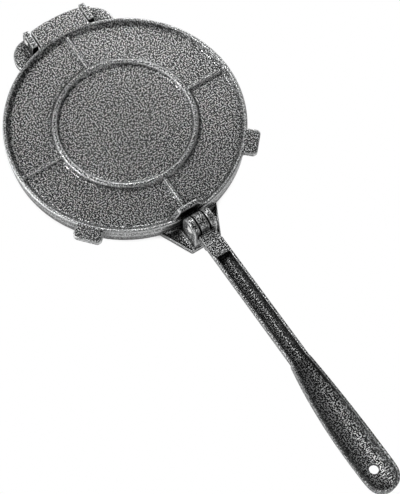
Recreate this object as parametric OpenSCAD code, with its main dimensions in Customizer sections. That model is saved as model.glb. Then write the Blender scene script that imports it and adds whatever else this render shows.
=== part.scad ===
// Hand press for flat breads, plates closed, lever laid out to the front.
// Millimetres. Z = 0 is the flat bottom of the base, X points to the lever.

/* [Plates] */
// Diameter of the base plate at its top edge
plate_d = 205; // [195:1:215]
// Thickness of the base plate
base_t = 9; // [8:0.5:11]
// How much smaller the base is at its bottom edge, on the radius
base_draft = 0.3; // [0.1:0.1:1]
// Thickness of the flange that carries the clevis and the rear ears
flange_t = 4.6; // [4:0.1:5.5]
// Depth of the hollow under the base
under_depth = 3.4; // [2:0.2:3.6]
// Width of the rim the base stands on
foot_rim_w = 8; // [6:0.5:12]
// Gap between the two pressing faces when closed
plate_gap = 0.4; // [0.3:0.1:1]
// How far the lid stands out over the base, on the radius
lid_overhang = 0.5; // [0.2:0.1:1]
// Thickness of the lid inside its rim
field_t = 4.1; // [3.5:0.1:5.5]

/* [Lid relief] */
// Height of the lid's rim over the field
rim_h = 3.5; // [2.5:0.1:3.9]
// Width of the flat crest of the rim
rim_w = 2.5; // [2:0.1:4]
// Width of the slope from the crest down to the field
rim_slope_w = 4; // [2:0.2:6]
// Middle radius of the round ridge
ring_r = 59.7; // [50:0.1:68]
// Width of the round ridge at its foot
ring_foot_w = 8; // [6:0.2:10]
// Width of the round ridge at its top
ring_top_w = 3.5; // [2:0.1:5]
// Height of the round ridge over the field
ring_h = 2.5; // [1.5:0.1:3]
// Width of a straight rib at its foot
rib_foot_w = 5; // [4:0.1:7]
// Width of a straight rib at its top
rib_top_w = 2.5; // [1.5:0.1:3.5]
// Height of a straight rib over the field
rib_h = 2; // [1:0.1:2.4]
// Width of each side tab
tab_w = 24; // [18:0.5:30]
// How far the side tabs stand out from the rim
tab_out = 11; // [7:0.5:13]
// Thickness of the side tabs
tab_t = 4.5; // [3:0.1:6]
// Corner radius of the side tabs
tab_corner_r = 4; // [2:0.5:6]
// Angle of the side tabs from the lever's line
tab_angle = 47.5; // [42:0.5:55]
// Height of the pressing pad over the rim's crest
pad_h = 7.5; // [6:0.1:7.8]
// Width of the pad's flat top
pad_top_w = 17.6; // [15:0.2:20]
// Width of the pad where it meets the field
pad_foot_w = 33; // [28:0.5:38]
// Length of the pad toward the rim's edge
pad_l = 5.4; // [4:0.2:8]
// Distance of the pad's front face behind the lid's edge
pad_inset = 2.6; // [1.6:0.1:3.6]

/* [Rear hinge] */
// Width of the lid's tongue between the ears
tongue_w = 48; // [40:0.5:54]
// How far the tongue stands out behind the lid
tongue_out = 18.5; // [17:0.5:19]
// Gap between the tongue and each ear
hinge_slit = 1.2; // [0.6:0.1:2]
// Thickness of each rear ear at its top
rear_ear_t = 5.3; // [4.5:0.1:7]
// How much thicker each rear ear is at its foot
rear_ear_draft = 2; // [1:0.1:3]
// How far the rear ears reach behind the base's circle
rear_ear_out = 19; // [18:0.5:21]
// Gap between the base's circle and the inner end of each rear ear
rear_ear_gap = 0.5; // [0:0.1:1]
// Radius of the round lobes that carry the rear ears
lobe_r = 19; // [17:0.5:21]
// Distance of the hinge pin behind the base's circle
hinge_out = 10.5; // [10:0.1:11.5]
// Diameter of the hinge pin
hinge_pin_d = 5; // [4:0.1:5.4]

/* [Front clevis] */
// Distance of the lever's axis in front of the base's circle
pivot_out = 13.4; // [11.8:0.1:14]
// Height of the lever's axis over the base's top face
pivot_h = 16.2; // [15.6:0.2:20]
// Radius of the clevis ears about the lever's axis
clevis_r = 9.2; // [9:0.1:10.2]
// Thickness of each clevis ear
clevis_t = 5.5; // [4.5:0.1:7]
// Space between the clevis ears
clevis_gap = 10.2; // [9:0.1:12]
// How much farther back the ears reach at their foot
clevis_splay = 0.7; // [0.2:0.1:0.9]
// Thickness of the web that ties the clevis ears at the front
web_t = 6; // [4:0.5:7]
// Half-width of the apron where it leaves the base's circle
apron_root_w = 27; // [25:0.5:31]
// Half-width of the apron at its front end
apron_end_w = 14; // [12.5:0.5:16]
// Distance of the apron's front end from the lever's axis
apron_out = 11; // [11:0.5:14]
// Depth of the pockets in the apron
pocket_depth = 1.4; // [0.6:0.1:2]
// Width of the lips round the pockets
pocket_lip = 1.5; // [1:0.1:2]
// Diameter of the lever's pin
lever_pin_d = 6; // [5:0.1:7]

/* [Lever] */
// Width of the knuckle between the clevis ears
knuckle_w = 7.9; // [7:0.1:8.6]
// Width of the solid root behind the shaft
root_w = 15.4; // [13:0.2:15.8]
// Depth of the solid root
root_depth = 9; // [8.4:0.1:9.4]
// Width of the lever's shaft
shaft_w = 16.2; // [15:0.2:18]
// Depth of the lever from its rim to its underside
shaft_depth = 9.8; // [9.4:0.1:10.4]
// Width of the channel in the shaft
channel_w = 12; // [12:0.1:13]
// Depth of the channel
channel_depth = 6.8; // [6:0.1:7]
// Radius of the round corners in the channel
channel_r = 5.6; // [4:0.1:5.9]
// Radius of the round lower corners of the shaft
shaft_corner_r = 6; // [5:0.1:6.4]
// Width of the grip at its widest
grip_w = 28.6; // [26:0.2:32]
// Depth of the grip from its rim to its underside
grip_depth = 10.5; // [9.8:0.1:11.5]
// Radius of the hollow curve of the grip seen from the side
sweep_r = 290; // [250:1:340]
// Radius of the round end of the grip
tip_r = 13.7; // [12.5:0.1:14]
// Width of the rim round the grip's dish
grip_rim = 2; // [1.6:0.1:3]
// Depth of the grip's dish along its middle
dish_depth = 7.5; // [6:0.1:8]
// Diameter of the hole for hanging
hang_d = 7.4; // [6:0.1:8.5]

/* [Hidden] */
$fn = 96;

run_gap = 0.06;   // radial play of each pin in its holes
seat_gap = 0.05;  // a ring on its pin and against its ear
stop_gap = 0.3;   // lever's shoulder from the clevis when laid out
sweep_gap = 0.65; // lever's shoulder from the clevis as it swings
eps = 0.01;       // overlap of joined bodies
over = 1;         // cutters run past the faces they open

plate_r = plate_d / 2;
lid_r = plate_r + lid_overhang;
lid_z = base_t + plate_gap;
field_z = lid_z + field_t;
crest_z = field_z + rim_h;
field_r = lid_r - rim_w - rim_slope_w;
pad_z = crest_z + pad_h;

tongue_y = tongue_w / 2;
rear_ear_y = tongue_y + hinge_slit;
rear_ear_end_y = rear_ear_y + rear_ear_t;
lobe_x = -plate_r - 1;
lobe_y = rear_ear_end_y - 1;
hinge_x = -plate_r - hinge_out;
hinge_z = (lid_z + crest_z) / 2;
ear_foot_y = rear_ear_end_y + rear_ear_draft;
ear_low_z = flange_t - 1;

pivot_x = plate_r + pivot_out;
pivot_z = base_t + pivot_h;
clevis_y = clevis_gap / 2 + clevis_t;
apron_x = pivot_x + apron_out;
apron_start_x = sqrt(pow(plate_r + 1, 2) - pow(apron_root_w, 2));

root_x = pivot_x + clevis_r + stop_gap;
root_rise = 1.2;   // top of the root over the lever's axis
root_step = 0.3;   // step from the root out to the shaft
// Places along the lever, from the lever's axis
shaft_from = [19.8, 2];   // rim's rear end, forward and up
shaft_to = [141.7, 11.2]; // rim's front end, forward and up
channel_from = 33.1;
sweep_from = 192.6;       // lowest point of the grip's hollow curve
flare_from = 222.1;       // widest point of the grip
hang_from = 235.6;
tip_from = 243.6;         // centre of the grip's round end
channel_x = pivot_x + channel_from;
shaft_start = [pivot_x + shaft_from[0], pivot_z + shaft_from[1]];
shaft_end = [pivot_x + shaft_to[0], pivot_z + shaft_to[1]];
shaft_run = shaft_end - shaft_start;
shaft_l = norm(shaft_run);
shaft_rise = atan2(shaft_run[1], shaft_run[0]);
sweep_x = pivot_x + sweep_from;
sweep_c = [sweep_x, shaft_end[1] + sqrt(pow(sweep_r, 2) - pow(sweep_x - shaft_end[0], 2))];
hang_x = pivot_x + hang_from;
tip_x = pivot_x + tip_from;
flare_x = pivot_x + flare_from;
flare_r = 567;     // side curve of the grip seen from above
dish_r = 14;       // cross curve of the grip's dish
crown_r = 17;      // cross curve of the grip's underside

under_slope_w = 2; // slope round the hollow under the base
under_hub_r = 22;  // solid middle under the base
under_ring_r = 58; // stiffening ring under the base
under_rib_w = 5;
spoke_angles = [0, 90, 180, 270];

pin_head_t = 1.2;
lever_head_d = lever_pin_d + 2;
hinge_head_d = hinge_pin_d + 1.6;
ring_t = 1;
ring_wall = 1.6;
pin_tail = ring_t + 2 * seat_gap + 0.6; // pin end past its ear
hinge_seat_r = max(hinge_head_d / 2, hinge_pin_d / 2 + ring_wall);
hinge_seat_y = rear_ear_end_y + rear_ear_draft * (crest_z - hinge_z + hinge_seat_r)
  / (crest_z - flange_t);

// Ring with sloping flanks, middle radius r, foot on z
module ridge_ring(r, foot_w, top_w, h, z)
  rotate_extrude()
    polygon([[r - foot_w / 2, z - eps], [r + foot_w / 2, z - eps],
             [r + top_w / 2, z + h], [r - top_w / 2, z + h]]);

// Straight rib with sloping flanks along X from x0 to x1, foot on z
module ridge_bar(x0, x1, foot_w, top_w, h, z)
  translate([x0, 0, z]) rotate([90, 0, 90]) linear_extrude(x1 - x0)
    polygon([[-foot_w / 2, -eps], [foot_w / 2, -eps], [top_w / 2, h], [-top_w / 2, h]]);

// Cylinder along Y from y0 to y1 on the axis at x, z
module rod_y(x, z, r, y0, y1)
  translate([x, y1, z]) rotate([90, 0, 0]) cylinder(r = r, h = y1 - y0);

// Plate standing along Y from y0 to y1, its outline drawn in X and Z
module slab_y(y0, y1)
  translate([0, y1, 0]) rotate([90, 0, 0]) linear_extrude(y1 - y0) children();

// Copies the children to both sides of the lever's line
module both_sides() {
  children();
  mirror([0, 1, 0]) children();
}

// Round plate of the base with the hollow under it
module base_disc() {
  hollow_r = plate_r - base_draft - foot_rim_w;
  rotate_extrude() polygon([
    [0, under_depth], [hollow_r - under_slope_w, under_depth], [hollow_r, 0],
    [plate_r - base_draft, 0], [plate_r, base_t], [0, base_t]]);
  cylinder(r = under_hub_r, h = base_t - eps);
  rotate_extrude() translate([under_ring_r - under_rib_w / 2, 0])
    square([under_rib_w, base_t - eps]);
  for (a = spoke_angles) rotate([0, 0, a]) translate([0, -under_rib_w / 2, 0])
    cube([hollow_r + eps, under_rib_w, base_t - eps]);
}

// Lobe behind the base, cut away beside the tongue
module rear_lobe() difference() {
  translate([lobe_x, lobe_y, 0]) cylinder(r = lobe_r, h = flange_t);
  translate([hinge_x - 2 * lobe_r, -over, -over])
    cube([4 * lobe_r, rear_ear_y + over, flange_t + 2 * over]);
}

// Ear for the hinge pin: round under the pin, thicker at its foot
module rear_ear() {
  x0 = -plate_r - rear_ear_out;
  x1 = -plate_r - rear_ear_gap;
  difference() {
    intersection() {
      slab_y(rear_ear_y, ear_foot_y) {
        translate([x0, hinge_z]) square([x1 - x0, crest_z - hinge_z]);
        translate([hinge_x, ear_low_z]) square([x1 - hinge_x, hinge_z - ear_low_z + eps]);
        intersection() {
          translate([hinge_x, hinge_z]) circle(r = hinge_x - x0);
          translate([x0, ear_low_z]) square([hinge_x - x0 + eps, hinge_z - ear_low_z + eps]);
        }
      }
      translate([x0 - over, 0, 0]) rotate([90, 0, 90]) linear_extrude(x1 - x0 + 2 * over)
        polygon([[rear_ear_y, 0], [ear_foot_y, 0], [ear_foot_y, flange_t],
                 [rear_ear_end_y, crest_z], [rear_ear_y, crest_z]]);
    }
    rod_y(hinge_x, hinge_z, hinge_pin_d / 2 + run_gap, 0, ear_foot_y + over);
  }
}

// Three-cornered pocket in the apron beside the clevis
module apron_pocket() {
  inner_y = clevis_y + pocket_lip;
  slope = (apron_root_w - apron_end_w) / (apron_x - apron_start_x);
  x0 = plate_r + pocket_lip;
  x1 = apron_x - (inner_y + 1.15 * pocket_lip - apron_end_w) / slope;
  translate([0, 0, flange_t - pocket_depth]) linear_extrude(pocket_depth + over)
    difference() {
      polygon([[x0 - 6, inner_y], [x1, inner_y],
               [x0 - 6, inner_y + (x1 - x0 + 6) * slope]]);
      circle(r = x0);
    }
}

// Ear of the clevis: round about the lever's axis, splayed to the rear
module clevis_ear() slab_y(clevis_gap / 2, clevis_y) {
  translate([pivot_x, pivot_z]) circle(r = clevis_r);
  polygon([[pivot_x - clevis_r, pivot_z], [pivot_x - clevis_r - clevis_splay, flange_t - eps],
           [pivot_x + clevis_r, flange_t - eps], [pivot_x + clevis_r, pivot_z]]);
}

module base_plate() color("gray") difference() {
  union() {
    base_disc();
    both_sides() {
      rear_lobe();
      rear_ear();
    }
    difference() {
      linear_extrude(flange_t) polygon([
        [apron_start_x - 4, -apron_root_w], [apron_start_x, -apron_root_w],
        [apron_x, -apron_end_w], [apron_x, apron_end_w],
        [apron_start_x, apron_root_w], [apron_start_x - 4, apron_root_w]]);
      both_sides() apron_pocket();
    }
    both_sides() clevis_ear();
    translate([pivot_x + clevis_r - web_t, -clevis_gap / 2 - eps, flange_t - eps])
      cube([web_t, clevis_gap + 2 * eps, pivot_z - clevis_r - sweep_gap - flange_t]);
  }
  rod_y(pivot_x, pivot_z, lever_pin_d / 2 + run_gap, -clevis_y - over, clevis_y + over);
}

// Round plate of the lid: rim, slope and field
module lid_disc() rotate_extrude() polygon([
  [0, lid_z], [lid_r, lid_z], [lid_r, crest_z], [lid_r - rim_w, crest_z],
  [field_r, field_z], [0, field_z]]);

// Tab beside the lid, outer corners round
module side_tab() {
  reach = lid_r + tab_out;
  x0 = lid_r - rim_w;
  r = tab_corner_r;
  translate([0, 0, crest_z - tab_t]) linear_extrude(tab_t) {
    translate([x0, -tab_w / 2]) square([reach - r - x0, tab_w]);
    translate([x0, r - tab_w / 2]) square([reach - x0, tab_w - 2 * r]);
    for (s = [-1, 1]) translate([reach - r, s * (tab_w / 2 - r)]) circle(r = r);
  }
}

// Tongue behind the lid, bored for the hinge pin
module tongue() difference() {
  intersection() {
    translate([0, 0, lid_z]) cylinder(r = lid_r + tongue_out, h = crest_z - lid_z);
    translate([-lid_r - tongue_out, -tongue_y, 0])
      cube([tongue_out + rim_w, tongue_w, crest_z + over]);
  }
  rod_y(hinge_x, hinge_z, hinge_pin_d / 2 + run_gap, -tongue_y - over, tongue_y + over);
}

// Pad the lever's root presses on
module pad() intersection() {
  front_r = lid_r - pad_inset;
  translate([front_r - pad_l, 0, 0]) rotate([90, 0, 90]) linear_extrude(pad_l)
    polygon([[-pad_foot_w / 2, field_z - eps], [pad_foot_w / 2, field_z - eps],
             [pad_top_w / 2, pad_z], [-pad_top_w / 2, pad_z]]);
  cylinder(r = front_r, h = pad_z + over);
}

module top_plate() color("darkgray") {
  lid_disc();
  ridge_ring(ring_r, ring_foot_w, ring_top_w, ring_h, field_z);
  for (a = spoke_angles) rotate([0, 0, a])
    ridge_bar(ring_r + ring_top_w / 2, field_r + rim_slope_w / 2,
              rib_foot_w, rib_top_w, rib_h, field_z);
  for (s = [-1, 1]) rotate([0, 0, s * tab_angle]) side_tab();
  tongue();
  pad();
}

// Straight bar along the shaft's rim line, from l0 to l1 along it,
// its section drawn across and down from the rim
module along_shaft(l0, l1)
  translate([shaft_start[0], 0, shaft_start[1]]) rotate([0, -shaft_rise, 0])
    translate([l0, 0, 0]) rotate([90, 0, 90]) linear_extrude(l1 - l0) children();

// Trough section: width w, depth d, lower corners of radius r, top raised by up
module trough(w, d, r, up) {
  translate([-w / 2, r - d]) square([w, d - r + up]);
  translate([r - w / 2, -d]) square([w - 2 * r, r + eps]);
  for (s = [-1, 1]) translate([s * (w / 2 - r), r - d]) circle(r = r);
}

// Grip seen from above, its edge moved in by inset
module grip_outline(inset) {
  intersection() {
    translate([flare_x, grip_w / 2 - flare_r]) circle(r = flare_r - inset, $fn = 1440);
    translate([flare_x, flare_r - grip_w / 2]) circle(r = flare_r - inset, $fn = 1440);
    translate([shaft_end[0] - 6, -grip_w]) square([tip_x - shaft_end[0] + 6, 2 * grip_w]);
  }
  translate([tip_x, 0]) circle(r = tip_r - inset);
}

// Section swept along the grip's hollow curve from x = x0 to x = x1:
// first coordinate outward from the curve's centre, second across
module along_grip(x0, x1) {
  a0 = -acos((x0 - sweep_c[0]) / sweep_r);
  a1 = -acos((x1 - sweep_c[0]) / sweep_r);
  translate([sweep_c[0], 0, sweep_c[1]]) rotate([90, 0, 0]) rotate([0, 0, a0])
    rotate_extrude(angle = a1 - a0, $fn = 1440) children();
}

// Grip: hollow curve from the side, crowned underside
module grip_solid() intersection() {
  linear_extrude(sweep_c[1]) grip_outline(0);
  along_grip(shaft_end[0] - 1, tip_x + tip_r + over) intersection() {
    translate([sweep_r, -grip_w]) square([grip_depth, 2 * grip_w]);
    translate([sweep_r + grip_depth - crown_r, 0]) circle(r = crown_r);
  }
}

// Dish in the grip
module grip_dish() intersection() {
  linear_extrude(sweep_c[1]) grip_outline(grip_rim);
  along_grip(shaft_end[0] - 5, tip_x + tip_r + over) intersection() {
    translate([sweep_r - 4, -grip_w]) square([dish_depth + 4, 2 * grip_w]);
    translate([sweep_r + dish_depth - dish_r, 0]) circle(r = dish_r);
  }
}

// Root of the lever: knuckle, neck and solid block
module lever_root() difference() {
  low_z = pivot_z + root_rise - root_depth;
  union() {
    slab_y(-knuckle_w / 2, knuckle_w / 2) {
      translate([pivot_x, pivot_z]) circle(r = clevis_r);
      translate([pivot_x, low_z]) square([root_x - pivot_x + over, root_depth]);
    }
    slab_y(-root_w / 2, root_w / 2) polygon([
      [root_x, low_z], [root_x, pivot_z + root_rise],
      shaft_start + [over, -root_step], shaft_start + [over, root_step - shaft_depth]]);
  }
  for (s = [-1, 1]) rod_y(pivot_x, pivot_z, clevis_r + sweep_gap,
    s > 0 ? knuckle_w / 2 : -shaft_w, s > 0 ? shaft_w : -knuckle_w / 2);
}

module press_lever() color("dimgray") difference() {
  union() {
    lever_root();
    along_shaft(0, shaft_l) trough(shaft_w, shaft_depth, shaft_corner_r, 0);
    grip_solid();
  }
  along_shaft(-over, shaft_l) translate([-shaft_w, 0]) square([2 * shaft_w, shaft_corner_r]);
  along_shaft(channel_x - shaft_start[0], shaft_l + 4)
    trough(channel_w, channel_depth, channel_r, over);
  grip_dish();
  rod_y(pivot_x, pivot_z, lever_pin_d / 2 + run_gap, -knuckle_w, knuckle_w);
  translate([sweep_c[0], 0, sweep_c[1]]) rotate([0, asin((sweep_x - hang_x) / sweep_r), 0])
    translate([0, 0, -sweep_r - 2 * shaft_depth]) cylinder(d = hang_d, h = 4 * shaft_depth);
}

// Headed pin along Y: domed head at -y1, plain tail past y1
module headed_pin(x, z, d, head_d, y1) {
  rod_y(x, z, d / 2, -y1 - eps, y1 + pin_tail);
  translate([x, -y1, z]) rotate([90, 0, 0]) rotate_extrude() intersection() {
    dome_r = (pow(head_d / 2, 2) + pow(pin_head_t, 2)) / (2 * pin_head_t);
    translate([0, pin_head_t - dome_r]) circle(r = dome_r);
    square([head_d / 2, pin_head_t]);
  }
}

// Push-on ring on the tail of a pin
module push_ring(x, z, d, y1) difference() {
  rod_y(x, z, d / 2 + ring_wall, y1 + seat_gap, y1 + seat_gap + ring_t);
  rod_y(x, z, d / 2 + seat_gap, y1 - over, y1 + ring_t + over);
}

module lever_pin() color("silver")
  headed_pin(pivot_x, pivot_z, lever_pin_d, lever_head_d, clevis_y);
module lever_pin_ring() color("silver") push_ring(pivot_x, pivot_z, lever_pin_d, clevis_y);
module hinge_pin() color("silver")
  headed_pin(hinge_x, hinge_z, hinge_pin_d, hinge_head_d, hinge_seat_y);
module hinge_pin_ring() color("silver") push_ring(hinge_x, hinge_z, hinge_pin_d, hinge_seat_y);

base_plate();
top_plate();
press_lever();
lever_pin();
lever_pin_ring();
hinge_pin();
hinge_pin_ring();
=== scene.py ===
"""Press for flat breads: cast plates and lever in hammered enamel, steel pins.

The frame's solids give every size and place. The castings are dressed with
rounded cast edges, and the scene has a pale studio round them.
"""
import math

import bmesh
import bpy
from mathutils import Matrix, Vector


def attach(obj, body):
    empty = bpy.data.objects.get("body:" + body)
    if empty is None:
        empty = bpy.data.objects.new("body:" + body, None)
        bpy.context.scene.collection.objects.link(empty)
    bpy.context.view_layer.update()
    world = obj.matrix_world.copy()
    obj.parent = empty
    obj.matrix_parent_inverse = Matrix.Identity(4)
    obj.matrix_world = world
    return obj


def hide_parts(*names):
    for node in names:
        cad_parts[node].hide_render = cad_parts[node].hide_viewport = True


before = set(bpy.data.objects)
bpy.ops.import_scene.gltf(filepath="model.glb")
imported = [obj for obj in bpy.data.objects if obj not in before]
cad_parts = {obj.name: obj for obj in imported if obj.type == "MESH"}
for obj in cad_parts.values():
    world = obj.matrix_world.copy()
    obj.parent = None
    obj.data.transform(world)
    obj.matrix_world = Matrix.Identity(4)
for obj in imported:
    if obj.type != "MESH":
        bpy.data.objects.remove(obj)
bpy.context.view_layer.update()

bl_info = {
    "name": "Flat Bread Press",
    "version": (1, 0, 0),
    "blender": (4, 5, 0),
    "location": "View3D > Sidebar > Press",
    "description": "Dresses a flat bread press's castings and pins and sets its studio",
    "category": "Object",
}

MM = 0.001


class PressCastings(bpy.types.PropertyGroup):
    """Fineness and softness of the cast surfaces."""

    plate_grid: bpy.props.FloatProperty(
        name="Plate grid",
        description="Cell size of the surface grid laid over the two plates",
        default=0.62 * MM, min=0.3 * MM, max=2 * MM, unit="LENGTH", precision=5)
    lever_grid: bpy.props.FloatProperty(
        name="Lever grid",
        description="Cell size of the surface grid laid over the lever",
        default=0.4 * MM, min=0.2 * MM, max=2 * MM, unit="LENGTH", precision=5)
    plate_edge: bpy.props.FloatProperty(
        name="Plate edge softness",
        description="How far cast edges and corners of the plates are rounded",
        default=0.6 * MM, min=0.2 * MM, max=3 * MM, unit="LENGTH", precision=5)
    lever_edge: bpy.props.FloatProperty(
        name="Lever edge softness",
        description="How far cast edges and corners of the lever are rounded",
        default=0.55 * MM, min=0.2 * MM, max=3 * MM, unit="LENGTH", precision=5)
    most_faces: bpy.props.IntProperty(
        name="Most faces",
        description="Triangles that one casting may have",
        default=185000, min=20000, max=199000)


class PressFinish(bpy.types.PropertyGroup):
    """Colours and grain of the enamel and the steel."""

    enamel_dark: bpy.props.FloatVectorProperty(
        name="Enamel veins", description="Colour of the veins between the flakes",
        subtype="COLOR", size=3, min=0, max=1, default=(0.012, 0.0125, 0.0125))
    enamel_light: bpy.props.FloatVectorProperty(
        name="Enamel flakes", description="Colour of the silver flakes",
        subtype="COLOR", size=3, min=0, max=1, default=(0.93, 0.94, 0.94))
    # painted shade: the lever's flakes are darker than the plates', to paint the darker
    # look its glossy faces have
    lever_shaded_flakes: bpy.props.FloatVectorProperty(
        name="Lever flakes",
        description="Colour of the flakes on the lever, which is darker",
        subtype="COLOR", size=3, min=0, max=1, default=(0.82, 0.83, 0.83))
    # painted highlight: share by which the plates' convex edges are brightened
    edge_light: bpy.props.FloatProperty(
        name="Plates' edge light",
        description="How much the coat brightens on the plates' edges",
        default=0.5, min=0, max=1)
    gloss_loss: bpy.props.FloatProperty(
        name="Lever gloss loss",
        description="Extra roughness of the lever, worn by hands",
        default=0.1, min=0, max=0.5)
    # painted highlight: share by which the lever's convex edges are brightened
    lever_painted_edge_highlight: bpy.props.FloatProperty(
        name="Lever edge light",
        description="How much the coat brightens on the lever's edges",
        default=0.22, min=0, max=1)
    # painted shade: open share of space above which hollows of the plates and the lever
    # are no longer darkened
    open_side: bpy.props.FloatProperty(
        name="Plates' open side",
        description="Open share of space at which a face of the plates is not darkened",
        default=0.95, min=0.6, max=1)
    lever_open_side: bpy.props.FloatProperty(
        name="Lever's open side",
        description="Open share of space at which a face of the lever is not darkened",
        default=1.0, min=0.6, max=1)
    cell_size: bpy.props.FloatProperty(
        name="Cell size", description="Width of one hammered cell of the enamel",
        default=1.12 * MM, min=0.4 * MM, max=10 * MM, unit="LENGTH", precision=5)
    steel: bpy.props.FloatVectorProperty(
        name="Steel", description="Colour of the bare pins and rings",
        subtype="COLOR", size=3, min=0, max=1, default=(0.86, 0.86, 0.85))
    stain: bpy.props.FloatProperty(
        name="Stain", description="Brightness of the steel where it is stained",
        default=0.7, min=0, max=1)


class PressStudio(bpy.types.PropertyGroup):
    """Camera and light."""

    lens: bpy.props.FloatProperty(
        name="Lens", description="Focal length of the camera, in millimetres",
        default=85.887, min=20, max=300)
    key_power: bpy.props.FloatProperty(
        name="Key light", description="Power of the main light, high on the near left",
        default=12.5, min=0, max=200, unit="POWER")
    rear_power: bpy.props.FloatProperty(
        name="Rear light", description="Power of the light behind the hinge",
        default=10.8, min=0, max=200, unit="POWER")
    left_power: bpy.props.FloatProperty(
        name="Left light", description="Power of the low light on the near side",
        default=7.0, min=0, max=200, unit="POWER")
    front_power: bpy.props.FloatProperty(
        name="Front light", description="Power of the low light in front of the grip",
        default=5.0, min=0, max=200, unit="POWER")
    sky: bpy.props.FloatProperty(
        name="Sky", description="Strength of the even light all round",
        default=0.045, min=0, max=3)
    sweep: bpy.props.FloatProperty(
        name="Sweep", description="Strength of the white backdrop near the horizon",
        default=0.2, min=0, max=3)
    sweep_low: bpy.props.FloatProperty(
        name="Sweep full below",
        description="Height of a direction below which the backdrop is at full strength",
        default=0.12, min=0, max=1)
    sweep_high: bpy.props.FloatProperty(
        name="Sweep gone above",
        description="Height of a direction above which only the sky is left",
        default=0.48, min=0, max=1)


def add_node(tree, kind, at, **values):
    """New shader node with its settings and unlinked inputs filled in."""
    node = tree.nodes.new(kind)
    node.location = at
    for name, value in values.items():
        if name.startswith("in_"):
            node.inputs[name[3:].replace("_", " ")].default_value = value
        else:
            setattr(node, name, value)
    return node


def feed(tree, socket, value):
    """Links an output to socket, or sets socket to a plain value."""
    if isinstance(value, bpy.types.NodeSocket):
        tree.links.new(value, socket)
    else:
        socket.default_value = value


def calculate(tree, at, operation, *values, clamp=False):
    """Output of a Math node that works on outputs and numbers."""
    node = add_node(tree, "ShaderNodeMath", at, operation=operation, use_clamp=clamp)
    for socket, value in zip(node.inputs, values):
        feed(tree, socket, value)
    return node.outputs[0]


def remap(tree, at, value, low, high, to_low=0.0, to_high=1.0):
    """Output of a Map Range node: low to high becomes to_low to to_high."""
    node = add_node(tree, "ShaderNodeMapRange", at)
    for socket, given in zip(node.inputs, (value, low, high, to_low, to_high)):
        feed(tree, socket, given)
    return node.outputs[0]


def mix_colours(tree, at, factor, first, second, blend="MIX"):
    """Output of a Mix node for colours."""
    node = add_node(tree, "ShaderNodeMix", at, data_type="RGBA", blend_type=blend)
    feed(tree, node.inputs["Factor"], factor)
    feed(tree, node.inputs["A"], first)
    feed(tree, node.inputs["B"], second)
    return node.outputs["Result"]


def noise(tree, at, vector, scale, detail, **values):
    """Output of a Noise Texture node, from 0 to 1."""
    node = add_node(tree, "ShaderNodeTexNoise", at, in_Detail=detail, **values)
    feed(tree, node.inputs["Vector"], vector)
    feed(tree, node.inputs["Scale"], scale)
    return node.outputs["Fac"]


def set_stops(ramp, stops):
    """Fills a colour ramp with (place, grey) stops."""
    line = ramp.color_ramp
    while len(line.elements) > 2:
        line.elements.remove(line.elements[-1])
    while len(line.elements) < len(stops):
        line.elements.new(0.5)
    for stop, (place, grey) in zip(line.elements, stops):
        stop.position = place
        stop.color = (grey, grey, grey, 1)


def empty_tree(owner):
    """Node tree of a material or world, cleared, and its output node."""
    owner.use_nodes = True
    tree = owner.node_tree
    tree.nodes.clear()
    kind = "World" if isinstance(owner, bpy.types.World) else "Material"
    return tree, add_node(tree, "ShaderNodeOutput" + kind, (600, 0))


def add_socket(tree, way, kind, name):
    """Named socket at one end of a node group."""
    return tree.interface.new_socket(name, in_out=way, socket_type="NodeSocket" + kind)


# tone of the coat at rising values of its noise: veins, the foot of a flake, flakes
FLAKE_STOPS = ((0.515, 0.0), (0.555, 0.18), (0.585, 1.0))

# fine grit, and a broad drift of tone: cells in a metre, detail, share of the tone
FINE_SCALE, FINE_DETAIL, FINE_ROUGHNESS, FINE_SHARE = 900.0, 2.0, 0.6, 0.5
DRIFT_SCALE, DRIFT_DETAIL, DRIFT_SHARE = 14.0, 2.0, 0.16

# mean tone of the full grain, and the tone that a coat without grain has
MEAN_TONE, CALM_TONE = 0.22, 0.2

# upward part of a face's normal, from steep to level, and the grain on steep faces
STEEP, LEVEL, STEEP_GRAIN = 0.72, 0.88, 0.5

# pointiness of a flat face and of a sharp convex edge, and the grain an edge loses
EDGE_FLAT, EDGE_SHARP, EDGE_CALM = 0.506, 0.535, 0.8

# rays that look for walls near a point, and how far, in metres, they look
NOOK_SAMPLES, NOOK_REACH = 8, 0.012

# open share of space at which a hollow is narrow, and the tone of the painted shade left
# in it
NOOK_NARROW, PAINTED_SHADE_TONE = 0.55, 0.1

VEIN_ROUGHNESS, FLAKE_ROUGHNESS = 0.5, 0.34
ENAMEL_METALLIC = 0.88
CLEAR_COAT, CLEAR_COAT_ROUGHNESS = 0.12, 0.2
RELIEF_STRENGTH, RELIEF_DEPTH = 0.45, 0.3 * MM


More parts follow.
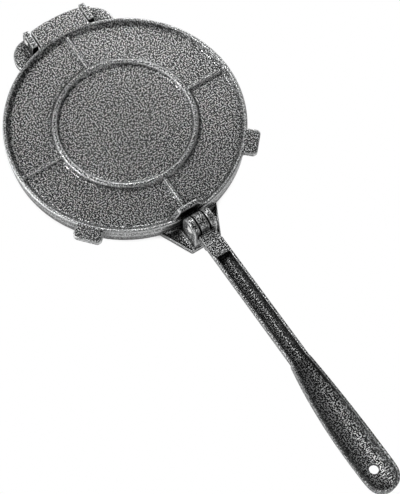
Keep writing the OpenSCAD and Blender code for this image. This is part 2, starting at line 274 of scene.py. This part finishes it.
def hammered_enamel_group():
    """Node group: flaked cells with darker veins, calmer on steep faces, with painted
    highlights on convex edges and painted shade in hollows.
    """
    found = bpy.data.node_groups.get("Hammered Enamel")
    if found:
        return found
    tree = bpy.data.node_groups.new("Hammered Enamel", "ShaderNodeTree")
    add_socket(tree, "INPUT", "Float", "Cell Size").default_value = 2 * MM
    add_socket(tree, "INPUT", "Float", "Edge Light")
    add_socket(tree, "INPUT", "Float", "Open Side")
    add_socket(tree, "INPUT", "Color", "Veins")
    add_socket(tree, "INPUT", "Color", "Flakes")
    add_socket(tree, "OUTPUT", "Color", "Color")
    add_socket(tree, "OUTPUT", "Float", "Roughness")
    add_socket(tree, "OUTPUT", "Float", "Height")
    given = add_node(tree, "NodeGroupInput", (-1500, 0)).outputs
    out = add_node(tree, "NodeGroupOutput", (900, 0)).inputs
    coord = add_node(tree, "ShaderNodeTexCoord", (-1500, -300)).outputs

    # flakes and veins wander like a maze, read in plan on level faces, else in depth
    density = calculate(tree, (-1300, 0), "DIVIDE", 1.0, given["Cell Size"])
    cells = noise(tree, (-900, 0), coord["Object"], density, 0.0)
    flat_cells = noise(tree, (-900, 200), coord["Object"], density, 0.0,
                       noise_dimensions="2D")
    fine = noise(tree, (-900, -300), coord["Object"], FINE_SCALE, FINE_DETAIL,
                 in_Roughness=FINE_ROUGHNESS)
    broad = noise(tree, (-900, -550), coord["Object"], DRIFT_SCALE, DRIFT_DETAIL)

    # steep faces carry a calmer coat, because the wet enamel runs there
    parts = add_node(tree, "ShaderNodeSeparateXYZ", (-1100, 300))
    feed(tree, parts.inputs[0], coord["Normal"])
    upright = calculate(tree, (-900, 300), "ABSOLUTE", parts.outputs["Z"])
    level_face = remap(tree, (-700, 300), upright, STEEP, LEVEL)
    calm = calculate(tree, (-500, 300), "MULTIPLY_ADD", level_face, 1 - STEEP_GRAIN,
                     STEEP_GRAIN)
    maze = add_node(tree, "ShaderNodeMix", (-600, 100))
    feed(tree, maze.inputs["Factor"], level_face)
    feed(tree, maze.inputs["A"], cells)
    feed(tree, maze.inputs["B"], flat_cells)

    # convex edges carry a calmer grain where the coat was drawn back from them; the same
    # mask later lays a painted highlight on them
    shape = add_node(tree, "ShaderNodeNewGeometry", (-900, 550)).outputs
    edge = remap(tree, (-700, 550), shape["Pointiness"], EDGE_FLAT, EDGE_SHARP)
    still = calculate(tree, (-500, 450), "MULTIPLY_ADD", edge, -EDGE_CALM, 1.0)
    grain = calculate(tree, (-300, 350), "MULTIPLY", calm, still)

    # the coat's tone, with its grain scaled about the mean
    tone = add_node(tree, "ShaderNodeValToRGB", (-700, 0))
    set_stops(tone, FLAKE_STOPS)
    feed(tree, tone.inputs[0], maze.outputs["Result"])
    grainy = calculate(tree, (-400, -150), "MULTIPLY_ADD", fine, FINE_SHARE,
                       -0.5 * FINE_SHARE)
    mixed = calculate(tree, (-200, 0), "ADD", tone.outputs["Color"], grainy, clamp=True)
    centred = calculate(tree, (0, 0), "SUBTRACT", mixed, MEAN_TONE)
    quiet = calculate(tree, (150, 0), "MULTIPLY_ADD", centred, grain, CALM_TONE)
    drift = calculate(tree, (150, -250), "MULTIPLY_ADD", broad, DRIFT_SHARE,
                      -0.5 * DRIFT_SHARE)
    # painted highlight: convex edges are brightened by the Edge Light share, added to
    # the tone's random drift
    drift_and_painted_highlight = calculate(tree, (250, -400), "MULTIPLY_ADD", edge, given["Edge Light"],
                       drift)
    level = calculate(tree, (350, 0), "ADD", quiet, drift_and_painted_highlight, clamp=True)
    colour = mix_colours(tree, (550, 100), level, given["Veins"], given["Flakes"])

    # painted shade: narrow channels and corners are darkened by how closed in they are,
    # for the shade that falls there
    nook = add_node(tree, "ShaderNodeAmbientOcclusion", (350, 350), samples=NOOK_SAMPLES,
                    in_Distance=NOOK_REACH)
    openness = remap(tree, (550, 350), nook.outputs["AO"], NOOK_NARROW,
                     given["Open Side"], PAINTED_SHADE_TONE)
    colour_with_painted_shade = mix_colours(tree, (750, 200), 1.0, colour, openness, "MULTIPLY")
    feed(tree, out["Color"], colour_with_painted_shade)
    feed(tree, out["Roughness"],
         remap(tree, (550, -150), level, 0.0, 1.0, VEIN_ROUGHNESS, FLAKE_ROUGHNESS))
    feed(tree, out["Height"], calculate(tree, (550, -350), "MULTIPLY", mixed, grain))
    return tree


def enamel_material(name, settings, flakes, edge_light, open_side, gloss_loss=0.0):
    """Grey hammered enamel of the castings, with the flakes' colour as given."""
    found = bpy.data.materials.get(name)
    if found:
        return found
    material = bpy.data.materials.new(name)
    tree, out = empty_tree(material)
    shader = add_node(tree, "ShaderNodeBsdfPrincipled", (300, 0),
                      in_Metallic=ENAMEL_METALLIC, in_Coat_Weight=CLEAR_COAT,
                      in_Coat_Roughness=CLEAR_COAT_ROUGHNESS)
    enamel = add_node(tree, "ShaderNodeGroup", (-200, 0),
                      node_tree=hammered_enamel_group(), in_Cell_Size=settings.cell_size,
                      in_Veins=(*settings.enamel_dark, 1), in_Flakes=(*flakes, 1),
                      in_Edge_Light=edge_light, in_Open_Side=open_side)
    relief = add_node(tree, "ShaderNodeBump", (50, -250), in_Strength=RELIEF_STRENGTH,
                      in_Distance=RELIEF_DEPTH)
    worn = calculate(tree, (50, -50), "ADD", enamel.outputs["Roughness"], gloss_loss)
    feed(tree, relief.inputs["Height"], enamel.outputs["Height"])
    feed(tree, shader.inputs["Base Color"], enamel.outputs["Color"])
    feed(tree, shader.inputs["Roughness"], worn)
    feed(tree, shader.inputs["Normal"], relief.outputs["Normal"])
    feed(tree, out.inputs["Surface"], shader.outputs[0])
    return material


def plate_enamel(settings):
    """Enamel of the base and the lid."""
    return enamel_material("Hammered enamel", settings, settings.enamel_light,
                           settings.edge_light, settings.open_side)


def lever_enamel(settings):
    """Enamel of the lever, worn, with darker flakes as painted shade."""
    return enamel_material("Lever enamel", settings, settings.lever_shaded_flakes,
                           settings.lever_painted_edge_highlight, settings.lever_open_side,
                           settings.gloss_loss)


# drawn lines: cells in a metre, detail, and the share of cells kept along the pins
LINE_SCALE, LINE_DETAIL, LINE_STRETCH = 2400.0, 3.0, 0.05

# stains: cells in a metre, detail, and the noise at which steel is stained or clean
STAIN_SCALE, STAIN_DETAIL, STAINED, CLEAN = 500.0, 4.0, 0.3, 0.55

STEEL_SMOOTH, STEEL_ROUGH = 0.12, 0.3


def steel_material(settings):
    """Bare drawn steel of the pins and their rings."""
    material = bpy.data.materials.new("Drawn steel")
    tree, out = empty_tree(material)
    shader = add_node(tree, "ShaderNodeBsdfPrincipled", (300, 0), in_Metallic=1.0)
    coord = add_node(tree, "ShaderNodeTexCoord", (-900, 0))
    drawn = add_node(tree, "ShaderNodeMapping", (-700, 0), in_Scale=(1, LINE_STRETCH, 1))
    feed(tree, drawn.inputs[0], coord.outputs["Object"])
    streak = noise(tree, (-500, 0), drawn.outputs[0], LINE_SCALE, LINE_DETAIL)
    spots = noise(tree, (-500, -250), coord.outputs["Object"], STAIN_SCALE, STAIN_DETAIL)
    stained = (*[settings.stain * share for share in settings.steel], 1)
    clean = remap(tree, (-250, 150), spots, STAINED, CLEAN)
    tint = mix_colours(tree, (0, 150), clean, stained, (*settings.steel, 1))
    rough = remap(tree, (-250, -100), streak, 0.0, 1.0, STEEL_SMOOTH, STEEL_ROUGH)
    feed(tree, shader.inputs["Base Color"], tint)
    feed(tree, shader.inputs["Roughness"], rough)
    feed(tree, out.inputs["Surface"], shader.outputs[0])
    return material


JOINED_WITHIN = 1e-6   # corners nearer than this, in metres, are one corner
SHORTEST_EDGE = 1e-7   # shorter edges, in metres, are dissolved
SMOOTH_STEP = 0.5      # share of the way to its neighbours that a pass moves a corner
EDGE_PASSES = 2.2      # passes that round an edge by one cell of the grid


def merged_copy(node):
    """Copy of a CAD node's mesh with its loose triangles joined."""
    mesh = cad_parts[node].data.copy()
    work = bmesh.new()
    work.from_mesh(mesh)
    bmesh.ops.remove_doubles(work, verts=work.verts[:], dist=JOINED_WITHIN)
    bmesh.ops.dissolve_degenerate(work, edges=work.edges[:], dist=SHORTEST_EDGE)
    bmesh.ops.recalc_face_normals(work, faces=work.faces[:])
    work.to_mesh(mesh)
    work.free()
    return mesh


def cast_piece(name, node, body, grid, softness, most_faces, enamel):
    """Casting that stands for a CAD node: same shape, edges rounded as cast."""
    mesh = merged_copy(node)
    rough = bpy.data.objects.new(name + "_rough", mesh)
    bpy.context.scene.collection.objects.link(rough)
    skin = rough.modifiers.new("Cast skin", "REMESH")
    skin.mode = "VOXEL"
    skin.voxel_size = grid
    skin.use_smooth_shade = True
    soften = rough.modifiers.new("Cast edges", "SMOOTH")
    soften.factor = SMOOTH_STEP
    soften.iterations = max(1, round(EDGE_PASSES * (softness / grid) ** 2))
    bpy.context.view_layer.update()
    graph = bpy.context.evaluated_depsgraph_get()
    made = bpy.data.meshes.new_from_object(rough.evaluated_get(graph))
    bpy.data.objects.remove(rough)
    bpy.data.meshes.remove(mesh)
    piece = bpy.data.objects.new(name, made)
    bpy.context.scene.collection.objects.link(piece)
    triangles = 2 * len(made.polygons)
    if triangles > most_faces:
        thin = piece.modifiers.new("Thin flat areas", "DECIMATE")
        thin.ratio = most_faces / triangles
        bpy.context.view_layer.update()
        graph = bpy.context.evaluated_depsgraph_get()
        thinned = bpy.data.meshes.new_from_object(piece.evaluated_get(graph))
        piece.modifiers.clear()
        piece.data = thinned
        bpy.data.meshes.remove(made)
    piece.data.name = name
    piece.data.shade_smooth()
    piece.data.materials.clear()
    piece.data.materials.append(enamel)
    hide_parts(node)
    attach(piece, body)
    return piece


class PRESS_OT_base_casting(bpy.types.Operator):
    """Base plate with its clevis and rear ears, edges rounded as cast"""

    bl_idname = "press.base_casting"
    bl_label = "Base Casting"

    def execute(self, context):
        cast = context.scene.press_castings
        cast_piece("base_casting", "base_plate", "base", cast.plate_grid,
                   cast.plate_edge, cast.most_faces,
                   plate_enamel(context.scene.press_finish))
        return {"FINISHED"}


class PRESS_OT_lid_casting(bpy.types.Operator):
    """Lid with its ribs, tabs, tongue and pad, edges rounded as cast"""

    bl_idname = "press.lid_casting"
    bl_label = "Lid Casting"

    def execute(self, context):
        cast = context.scene.press_castings
        cast_piece("lid_casting", "top_plate", "lid", cast.plate_grid,
                   cast.plate_edge, cast.most_faces,
                   plate_enamel(context.scene.press_finish))
        return {"FINISHED"}


class PRESS_OT_lever_casting(bpy.types.Operator):
    """Lever with its channel and dished grip, edges rounded as cast"""

    bl_idname = "press.lever_casting"
    bl_label = "Lever Casting"

    def execute(self, context):
        cast = context.scene.press_castings
        cast_piece("lever_casting", "press_lever", "lever", cast.lever_grid,
                   cast.lever_edge, cast.most_faces,
                   lever_enamel(context.scene.press_finish))
        return {"FINISHED"}


class PRESS_OT_pins(bpy.types.Operator):
    """Steel finish on the two pins and their rings"""

    bl_idname = "press.pins"
    bl_label = "Pins and Rings"

    def execute(self, context):
        steel = steel_material(context.scene.press_finish)
        for node in ("lever_pin", "lever_pin_ring", "hinge_pin", "hinge_pin_ring"):
            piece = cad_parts[node]
            for slot in piece.material_slots:
                slot.material = steel
        return {"FINISHED"}


# each lamp's place and side in metres, and the setting that holds its power
LAMPS = {
    "key_light": ((-0.55, -0.7, 1.6), 0.6, "key_power"),
    "rear_light": ((-1.2, 0.9, 1.1), 1.0, "rear_power"),
    "left_light": ((-0.5, -1.6, 0.7), 0.8, "left_power"),
    "front_light": ((1.7, 0.2, 0.6), 0.8, "front_power"),
}
LAMP_TARGET = (0.05, 0, 0)

CAMERA_PLACE = (0.43082, -0.22917, 0.88991)
CAMERA_TURN = (23.045, -1.4409, 57.1925)  # degrees about X, Y and Z
SENSOR_WIDTH = 36

WHITE = (1, 1, 1, 1)
FLOOR_COLOUR = (0.86, 0.86, 0.86, 1)
FLOOR_HALF_SIDE = 6.0

# how far, in metres, the floor looks for the press, and the open share of space from
# its full shadow to plain white
SHADOW_REACH, SHADOW_FULL, SHADOW_GONE = 0.012, 0.25, 0.5


def area_light(name, place, side, power):
    """Square soft light at place, pointing at the middle of the press."""
    data = bpy.data.lights.new(name, "AREA")
    data.shape = "SQUARE"
    data.size = side
    data.energy = power
    lamp = bpy.data.objects.new(name, data)
    lamp.location = place
    away = lamp.location - Vector(LAMP_TARGET)
    lamp.rotation_euler = away.to_track_quat("Z", "Y").to_euler()
    bpy.context.scene.collection.objects.link(lamp)


def mix_shaders(tree, factor, first, second, out):
    """Mixes two shaders into the output node."""
    mix = add_node(tree, "ShaderNodeMixShader", (300, 0))
    for socket, value in zip(mix.inputs, (factor, first.outputs[0], second.outputs[0])):
        feed(tree, socket, value)
    feed(tree, out.inputs["Surface"], mix.outputs[0])


def floor_material():
    """Matt white floor that cameras and glossy metal see as plain white."""
    material = bpy.data.materials.new("White floor")
    tree, out = empty_tree(material)
    matt = add_node(tree, "ShaderNodeBsdfDiffuse", (0, 100), in_Color=FLOOR_COLOUR)
    glow = add_node(tree, "ShaderNodeEmission", (0, -100), in_Strength=1.0)
    path = add_node(tree, "ShaderNodeLightPath", (-400, 300)).outputs
    nook = add_node(tree, "ShaderNodeAmbientOcclusion", (-600, 500),
                    samples=NOOK_SAMPLES, in_Distance=SHADOW_REACH)
    lit_part = remap(tree, (-400, 500), nook.outputs["AO"], SHADOW_FULL, SHADOW_GONE)
    seen = calculate(tree, (-200, 300), "MAXIMUM", path["Is Camera Ray"],
                     path["Is Glossy Ray"])
    white_part = calculate(tree, (0, 300), "MULTIPLY", seen, lit_part)
    mix_shaders(tree, white_part, matt, glow, out)
    return material


def studio_world(studio):
    """White for the camera, a dim sky and a brighter horizon for the object."""
    world = bpy.data.worlds.new("Studio")
    tree, out = empty_tree(world)
    seen = add_node(tree, "ShaderNodeBackground", (0, 150), in_Color=WHITE,
                    in_Strength=1.0)
    lit = add_node(tree, "ShaderNodeBackground", (0, -50), in_Color=WHITE)
    sight = add_node(tree, "ShaderNodeTexCoord", (-800, -50))
    upward = add_node(tree, "ShaderNodeSeparateXYZ", (-600, -50))
    feed(tree, upward.inputs[0], sight.outputs["Generated"])
    sweep = remap(tree, (-300, -50), upward.outputs["Z"], studio.sweep_low,
                  studio.sweep_high, studio.sweep, studio.sky)
    feed(tree, lit.inputs["Strength"], sweep)
    path = add_node(tree, "ShaderNodeLightPath", (-300, 300))
    mix_shaders(tree, path.outputs["Is Camera Ray"], lit, seen, out)
    return world


class PRESS_OT_studio(bpy.types.Operator):
    """White floor, soft light from the near left and above, and the camera"""

    bl_idname = "press.studio"
    bl_label = "Studio"

    def execute(self, context):
        scene = context.scene
        studio = scene.press_studio
        work = bmesh.new()
        bmesh.ops.create_grid(work, x_segments=1, y_segments=1, size=FLOOR_HALF_SIDE)
        mesh = bpy.data.meshes.new("floor")
        work.to_mesh(mesh)
        work.free()
        mesh.materials.append(floor_material())
        floor = bpy.data.objects.new("floor", mesh)
        scene.collection.objects.link(floor)

        scene.world = studio_world(studio)
        for name, (place, side, power) in LAMPS.items():
            area_light(name, place, side, getattr(studio, power))

        data = bpy.data.cameras.new("camera")
        data.lens = studio.lens
        data.sensor_width = SENSOR_WIDTH
        camera = bpy.data.objects.new("camera", data)
        camera.location = CAMERA_PLACE
        camera.rotation_euler = [math.radians(angle) for angle in CAMERA_TURN]
        scene.collection.objects.link(camera)
        scene.camera = camera
        scene.view_settings.view_transform = "Standard"
        return {"FINISHED"}


class PRESS_PT_panel(bpy.types.Panel):
    """Lists the steps that dress the press"""

    bl_idname = "PRESS_PT_panel"
    bl_label = "Flat Bread Press"
    bl_space_type = "VIEW_3D"
    bl_region_type = "UI"
    bl_category = "Press"

    def draw(self, context):
        layout = self.layout
        scene = context.scene
        for group in (scene.press_castings, scene.press_finish, scene.press_studio):
            box = layout.box()
            for key in group.__annotations__:
                box.prop(group, key)
        for step in STEPS:
            layout.operator(step.bl_idname)


STEPS = (PRESS_OT_base_casting, PRESS_OT_lid_casting, PRESS_OT_lever_casting,
         PRESS_OT_pins, PRESS_OT_studio)
GROUPS = {"press_castings": PressCastings, "press_finish": PressFinish,
          "press_studio": PressStudio}


def register():
    for group in GROUPS.values():
        bpy.utils.register_class(group)
    for name, group in GROUPS.items():
        setattr(bpy.types.Scene, name, bpy.props.PointerProperty(type=group))
    for kind in (*STEPS, PRESS_PT_panel):
        bpy.utils.register_class(kind)


def unregister():
    for kind in reversed((*STEPS, PRESS_PT_panel)):
        bpy.utils.unregister_class(kind)
    for name in GROUPS:
        delattr(bpy.types.Scene, name)
    for group in reversed(list(GROUPS.values())):
        bpy.utils.unregister_class(group)


def main():
    register()
    bpy.ops.press.base_casting()
    bpy.ops.press.lid_casting()
    bpy.ops.press.lever_casting()
    bpy.ops.press.pins()
    bpy.ops.press.studio()


if __name__ == "__main__":
    main()
